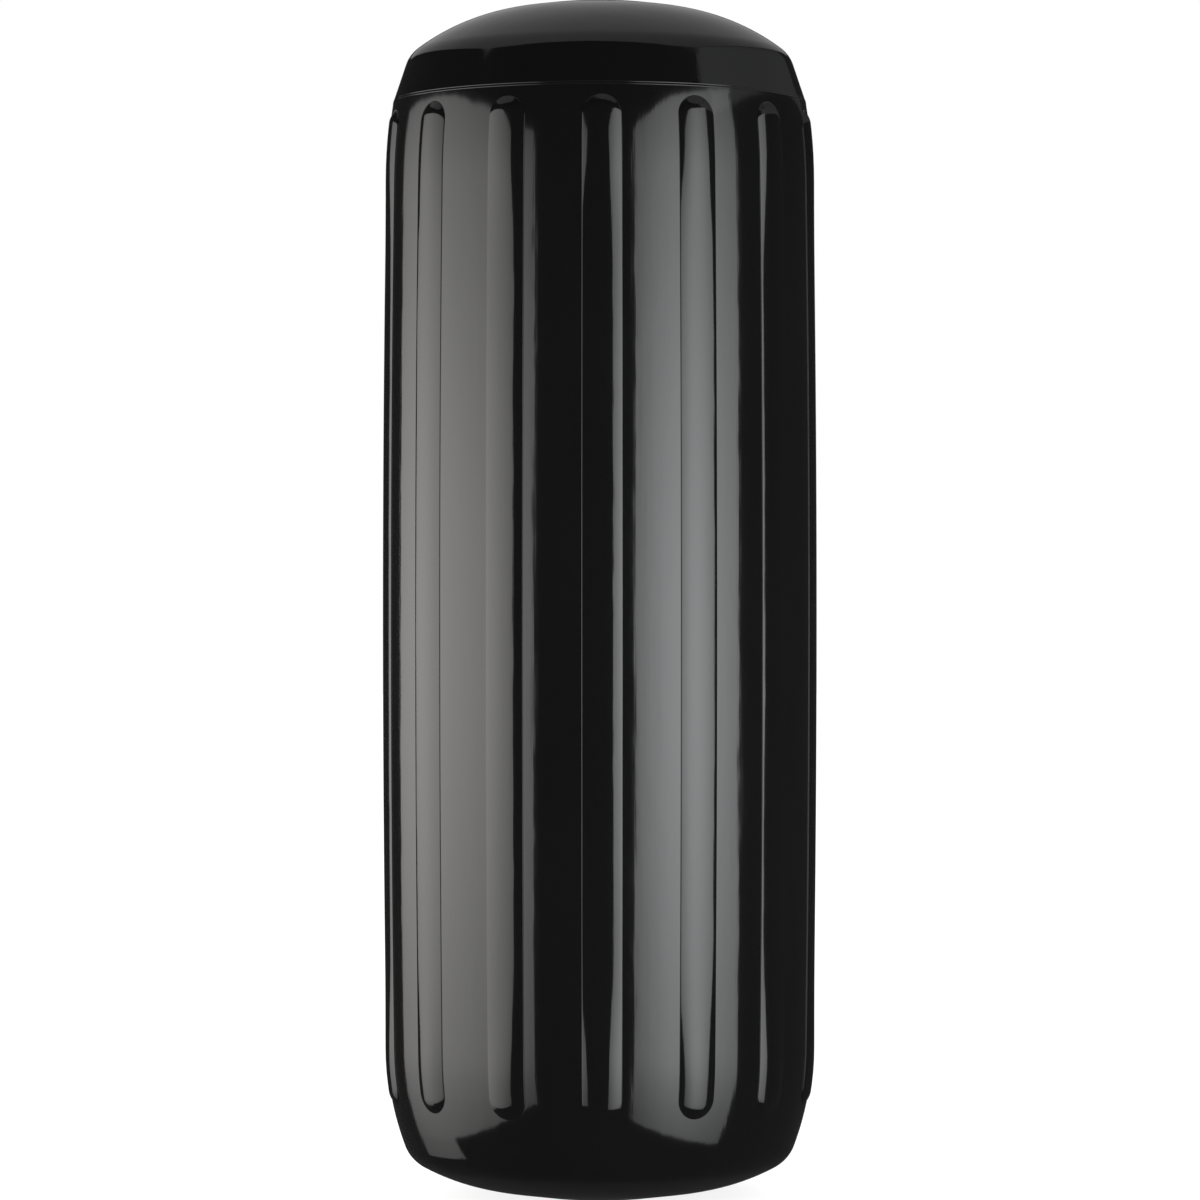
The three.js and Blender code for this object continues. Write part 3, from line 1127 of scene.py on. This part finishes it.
VINYL = MouldedFinish(
    name="black_gloss_vinyl",
    dark=(0.0035, 0.0035, 0.0037),
    light=(0.0048, 0.0048, 0.0050),
    gloss=0.07,
    haze=0.05,
    wave=0.35,
    grain=0.002,
    grain_scale=1500.0,
)
RUBBER = MouldedFinish(
    name="dark_valve_rubber",
    dark=(0.008, 0.008, 0.0083),
    light=(0.014, 0.014, 0.0145),
    gloss=0.42,
    haze=0.2,
    wave=0.05,
    grain=0.03,
    grain_scale=2500.0,
)
NYLON = MouldedFinish(
    name="dark_screw_nylon",
    dark=(0.013, 0.013, 0.0135),
    light=(0.020, 0.020, 0.0205),
    gloss=0.32,
    haze=0.12,
    wave=0.05,
    grain=0.015,
    grain_scale=2500.0,
)


def dress(piece: bpy.types.Object, finish: MouldedFinish, slot: str, *nodes: str) -> None:
    """Gives a piece its material and its place in the frame.

    Args:
        piece: the finished piece.
        finish: what it is made of.
        slot: the record's material slot; not used.
        nodes: the frame's nodes that it stands for.
    """
    piece.data.materials.clear()
    piece.data.materials.append(finish.material())
    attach(piece, BODY)
    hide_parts(*nodes)
    log.info("%s: %d faces", piece.name, len(piece.data.polygons))


@dataclass(frozen=True)
class SoftBox:
    """An upright area lamp that faces the fender's axis and is brightest near its middle.

    Its azimuth is in degrees, 0 towards -Y and growing to the right. Distances along the panel grow with the
    azimuth. Its top edge can slope: only what lies under top_limit + top_slope * along gives light.
    """

    name: str
    azimuth: float
    distance: float
    along: Pair
    heights: Pair
    radiance: float
    peak: Pair
    widths: Triple
    tint: Triple = (1.0, 1.0, 1.0)
    top_slope: float = 0.0
    top_limit: float = 9.0

    def build(self) -> bpy.types.Object:
        """Adds the lamp.

        Returns:
            The lamp's object.
        """
        lamp = bpy.data.lights.new(self.name, "AREA")
        lamp.shape = "RECTANGLE"
        lamp.size = self.along[1] - self.along[0]
        lamp.size_y = self.heights[1] - self.heights[0]
        lamp.energy = self.radiance * lamp.size * lamp.size_y * math.pi
        lamp.color = self.tint
        holder = bpy.data.objects.new(self.name, lamp)
        bpy.context.scene.collection.objects.link(holder)
        outwards = Vector((sin(self.azimuth), -cos(self.azimuth), 0.0))
        rightwards = Vector((cos(self.azimuth), sin(self.azimuth), 0.0))
        place = outwards * self.distance + rightwards * sum(self.along) / 2
        holder.location = (place.x, place.y, sum(self.heights) / 2)
        holder.rotation_euler = (math.radians(90.0), 0.0, math.radians(self.azimuth))
        holder.visible_camera = False
        self.fade(lamp, rightwards)
        return holder

    def fade(self, lamp: bpy.types.AreaLight, rightwards: Vector) -> None:
        """Dims the lamp away from its brightest place.

        Args:
            lamp: the lamp.
            rightwards: the direction along the panel.
        """
        lamp.use_nodes = True
        sheet = NodeSheet(lamp.node_tree)
        place = sheet.add("ShaderNodeNewGeometry").outputs["Position"]
        along = sheet.dot(place, rightwards)
        height = sheet.dot(place, Vector((0.0, 0.0, 1.0)))
        near, far, tall = self.widths
        side = sheet.maths("SUBTRACT", along, self.peak[0])
        share = sheet.maths("MAXIMUM", sheet.maths("DIVIDE", side, far), sheet.maths("DIVIDE", side, -near))
        raised = sheet.maths("DIVIDE", sheet.maths("SUBTRACT", height, self.peak[1]), tall)
        fall = sheet.maths("MULTIPLY", sheet.bell(share), sheet.bell(raised))
        edge = sheet.maths("SUBTRACT", height, sheet.maths("MULTIPLY", along, self.top_slope))
        kept = sheet.maths("LESS_THAN", edge, self.top_limit)
        sheet.join(sheet.maths("MULTIPLY", fall, kept), lamp.node_tree.nodes["Emission"].inputs["Strength"])


@dataclass
class Studio:
    """The pale floor, the lamps, the dark walls that gloss shows, and the camera.

    The floor's lift and the walls' glow each give the two ends of a range and the strengths there. An edge
    of the overhead panel is x, y and a limit: light comes only from where x and y, times the place, add up
    to more than the limit.
    """

    RANGE_NAMES: ClassVar[tuple[str, ...]] = ("From Min", "From Max", "To Min", "To Max")

    camera_distance: float = 3.635
    camera_height: float = 0.430
    camera_azimuth: float = -0.6
    camera_offset: float = 0.0003
    horizon_shift: float = 0.0025
    lens: float = 150.0
    floor_half: float = 20.0
    floor_grey: float = 0.8
    shadow_grey: float = 0.3
    floor_lift: Quadruple = (0.6, 2.0, 0.86, 1.0)
    wall_radius: float = 7.0
    ambient: float = 0.35
    wall_glow: Quadruple = (-0.8, 0.75, 0.05, 0.008)
    overhead_place: Triple = (0.0, 2.885, 2.3)
    overhead_size: Pair = (4.2, 8.17)
    overhead_radiance: float = 0.39
    overhead_peak: float = 0.8
    overhead_width: float = 4.0
    overhead_edges: tuple[Triple, ...] = (
        (0.450, 0.893, -1.39),
        (0.106, 0.994, -1.005),
        (-0.447, 0.894, -1.588),
        (-1.0, 0.0, -1.76),
    )

    def build(self) -> None:
        """Builds the whole studio."""
        self.world()
        self.floor()
        self.walls()
        for lamp in self.lamps():
            lamp.build()
        self.overhead()
        self.camera()
        bpy.context.scene.view_settings.view_transform = "Standard"

    def lamps(self) -> list[SoftBox]:
        """Lists the tall panels round the fender.

        Returns:
            The left panel with its foot, the right panel and the dim wall behind the right one.
        """
        warm, cool = (1.0, 0.985, 0.97), (0.98, 0.99, 1.0)
        left = {
            "azimuth": -79.1,
            "distance": 0.99,
            "peak": (-0.05, 0.40),
            "widths": (0.85, 1.2, 0.57),
            "tint": warm,
        }
        return [
            SoftBox("left_panel", along=(-1.06, 1.01), heights=(-0.425, 1.06), radiance=3.75, **left),
            SoftBox("left_panel_foot", along=(-1.06, -0.22), heights=(-0.58, -0.425), radiance=3.4, **left),
            SoftBox(
                "right_panel",
                azimuth=55.4,
                distance=0.93,
                along=(-0.75, 0.28),
                heights=(-0.49, 1.09),
                radiance=5.2,
                peak=(-0.24, 0.38),
                widths=(0.5, 0.6, 0.57),
                tint=cool,
                top_slope=0.165,
                top_limit=1.153,
            ),
            SoftBox(
                "right_wall",
                azimuth=89.4,
                distance=2.1,
                along=(-1.04, 3.6),
                heights=(1.4, 2.55),
                radiance=0.4,
                peak=(-1.0, 0.0),
                widths=(1.0, 1.9, 9.0),
                tint=cool,
            ),
        ]

    def overhead(self) -> None:
        """Hangs a wide dim panel over the fender, whose front corners are cut off."""
        lamp = bpy.data.lights.new("overhead_panel", "AREA")
        lamp.shape = "RECTANGLE"
        lamp.size, lamp.size_y = self.overhead_size
        lamp.energy = self.overhead_radiance * lamp.size * lamp.size_y * math.pi
        holder = bpy.data.objects.new("overhead_panel", lamp)
        bpy.context.scene.collection.objects.link(holder)
        holder.location = self.overhead_place
        holder.visible_camera = False
        lamp.use_nodes = True
        sheet = NodeSheet(lamp.node_tree)
        place = sheet.add("ShaderNodeNewGeometry").outputs["Position"]
        aside = sheet.maths("ADD", sheet.dot(place, Vector((1.0, 0.0, 0.0))), self.overhead_peak)
        light = sheet.bell(sheet.maths("DIVIDE", aside, self.overhead_width))
        for x, y, limit in self.overhead_edges:
            kept = sheet.maths("GREATER_THAN", sheet.dot(place, Vector((x, y, 0.0))), limit)
            light = sheet.maths("MULTIPLY", light, kept)
        sheet.join(light, lamp.node_tree.nodes["Emission"].inputs["Strength"])

    def world(self) -> None:
        """Makes the world white behind the fender, and a low even light everywhere else."""
        world = bpy.data.worlds.new("pale_studio")
        bpy.context.scene.world = world
        world.use_nodes = True
        world.node_tree.nodes.clear()
        sheet = NodeSheet(world.node_tree)
        dim = sheet.white_glow("ShaderNodeBackground", self.ambient)
        white = sheet.white_glow("ShaderNodeBackground", 1.0)
        mixed = sheet.mix(sheet.seen_directly(), dim, white)
        sheet.join(mixed, sheet.add("ShaderNodeOutputWorld").inputs["Surface"])

    def floor(self) -> None:
        """Lays a pale floor that keeps the fender's shadow, and that gloss leaves out for the panels."""
        bpy.ops.object.select_all(action="DESELECT")
        bpy.ops.mesh.primitive_plane_add(size=2 * self.floor_half)
        floor = bpy.context.object
        floor.name = "pale_floor"
        material = bpy.data.materials.new("pale_floor")
        material.use_nodes = True
        material.node_tree.nodes.clear()
        sheet = NodeSheet(material.node_tree)
        far = sheet.add("ShaderNodeVectorMath", operation="LENGTH")
        sheet.join(sheet.add("ShaderNodeTexCoord").outputs["Object"], far.inputs[0])
        lift = sheet.add("ShaderNodeMapRange", interpolation_type="SMOOTHSTEP")
        sheet.join(far.outputs["Value"], lift.inputs["Value"])
        for name, value in zip(self.RANGE_NAMES, self.floor_lift):
            sheet.join(value, lift.inputs[name])
        lit = sheet.add("ShaderNodeAddShader")
        sheet.join(sheet.diffuse(self.shadow_grey), lit.inputs[0])
        sheet.join(sheet.white_glow("ShaderNodeEmission", lift.outputs["Result"]), lit.inputs[1])
        mixed = sheet.mix(sheet.seen_directly(), sheet.diffuse(self.floor_grey), lit.outputs[0])
        sheet.join(mixed, sheet.add("ShaderNodeOutputMaterial").inputs["Surface"])
        floor.data.materials.append(material)
        floor.visible_glossy = False

    def walls(self) -> None:
        """Puts a dark shell round the studio, seen only in gloss, as the unlit room is in the photograph."""
        bpy.ops.object.select_all(action="DESELECT")
        bpy.ops.mesh.primitive_uv_sphere_add(segments=48, ring_count=24, radius=self.wall_radius)
        walls = bpy.context.object
        walls.name = "dark_walls"
        material = bpy.data.materials.new("dark_walls")
        material.use_nodes = True
        material.node_tree.nodes.clear()
        sheet = NodeSheet(material.node_tree)
        place = sheet.add("ShaderNodeTexCoord").outputs["Object"]
        fade = sheet.add("ShaderNodeMapRange")
        sheet.join(sheet.dot(place, Vector((0.0, 0.0, 1.0 / self.wall_radius))), fade.inputs["Value"])
        for name, value in zip(self.RANGE_NAMES, self.wall_glow):
            sheet.join(value, fade.inputs[name])
        glow = sheet.white_glow("ShaderNodeEmission", fade.outputs["Result"])
        sheet.join(glow, sheet.add("ShaderNodeOutputMaterial").inputs["Surface"])
        walls.data.materials.append(material)
        walls.visible_camera = False
        walls.visible_diffuse = False
        walls.visible_transmission = False
        walls.visible_shadow = False

    def camera(self) -> None:
        """Sets the camera level with the fender's middle, as the photograph was taken."""
        lens = bpy.data.cameras.new("camera")
        lens.lens = self.lens
        lens.sensor_width = 36.0
        lens.shift_y = self.horizon_shift
        lens.clip_end = 100.0
        camera = bpy.data.objects.new("camera", lens)
        bpy.context.scene.collection.objects.link(camera)
        turn = Matrix.Rotation(math.radians(self.camera_azimuth), 4, "Z")
        place = Matrix.Translation((self.camera_offset, -self.camera_distance, self.camera_height))
        camera.matrix_world = turn @ place @ Matrix.Rotation(math.radians(90.0), 4, "X")
        bpy.context.scene.camera = camera


def main() -> None:
    """Builds the fender and its studio."""
    logging.basicConfig(level=logging.INFO, format="%(name)s: %(message)s")
    skin = FenderSkin().build()
    valve = Valve()
    valve.cut_pocket(skin)
    smooth(skin, Sharpness.SOFT)
    dress(skin, VINYL, "vinyl_skin", "fender_body")
    bush = valve.build_bush()
    smooth(bush, Sharpness.MACHINED)
    dress(bush, RUBBER, "valve_bush", "valve_body")
    screw = valve.build_screw()
    smooth(screw, Sharpness.MACHINED)
    dress(screw, NYLON, "valve_screw", "valve_screw")
    Studio().build()


if __name__ == "__main__":
    main()
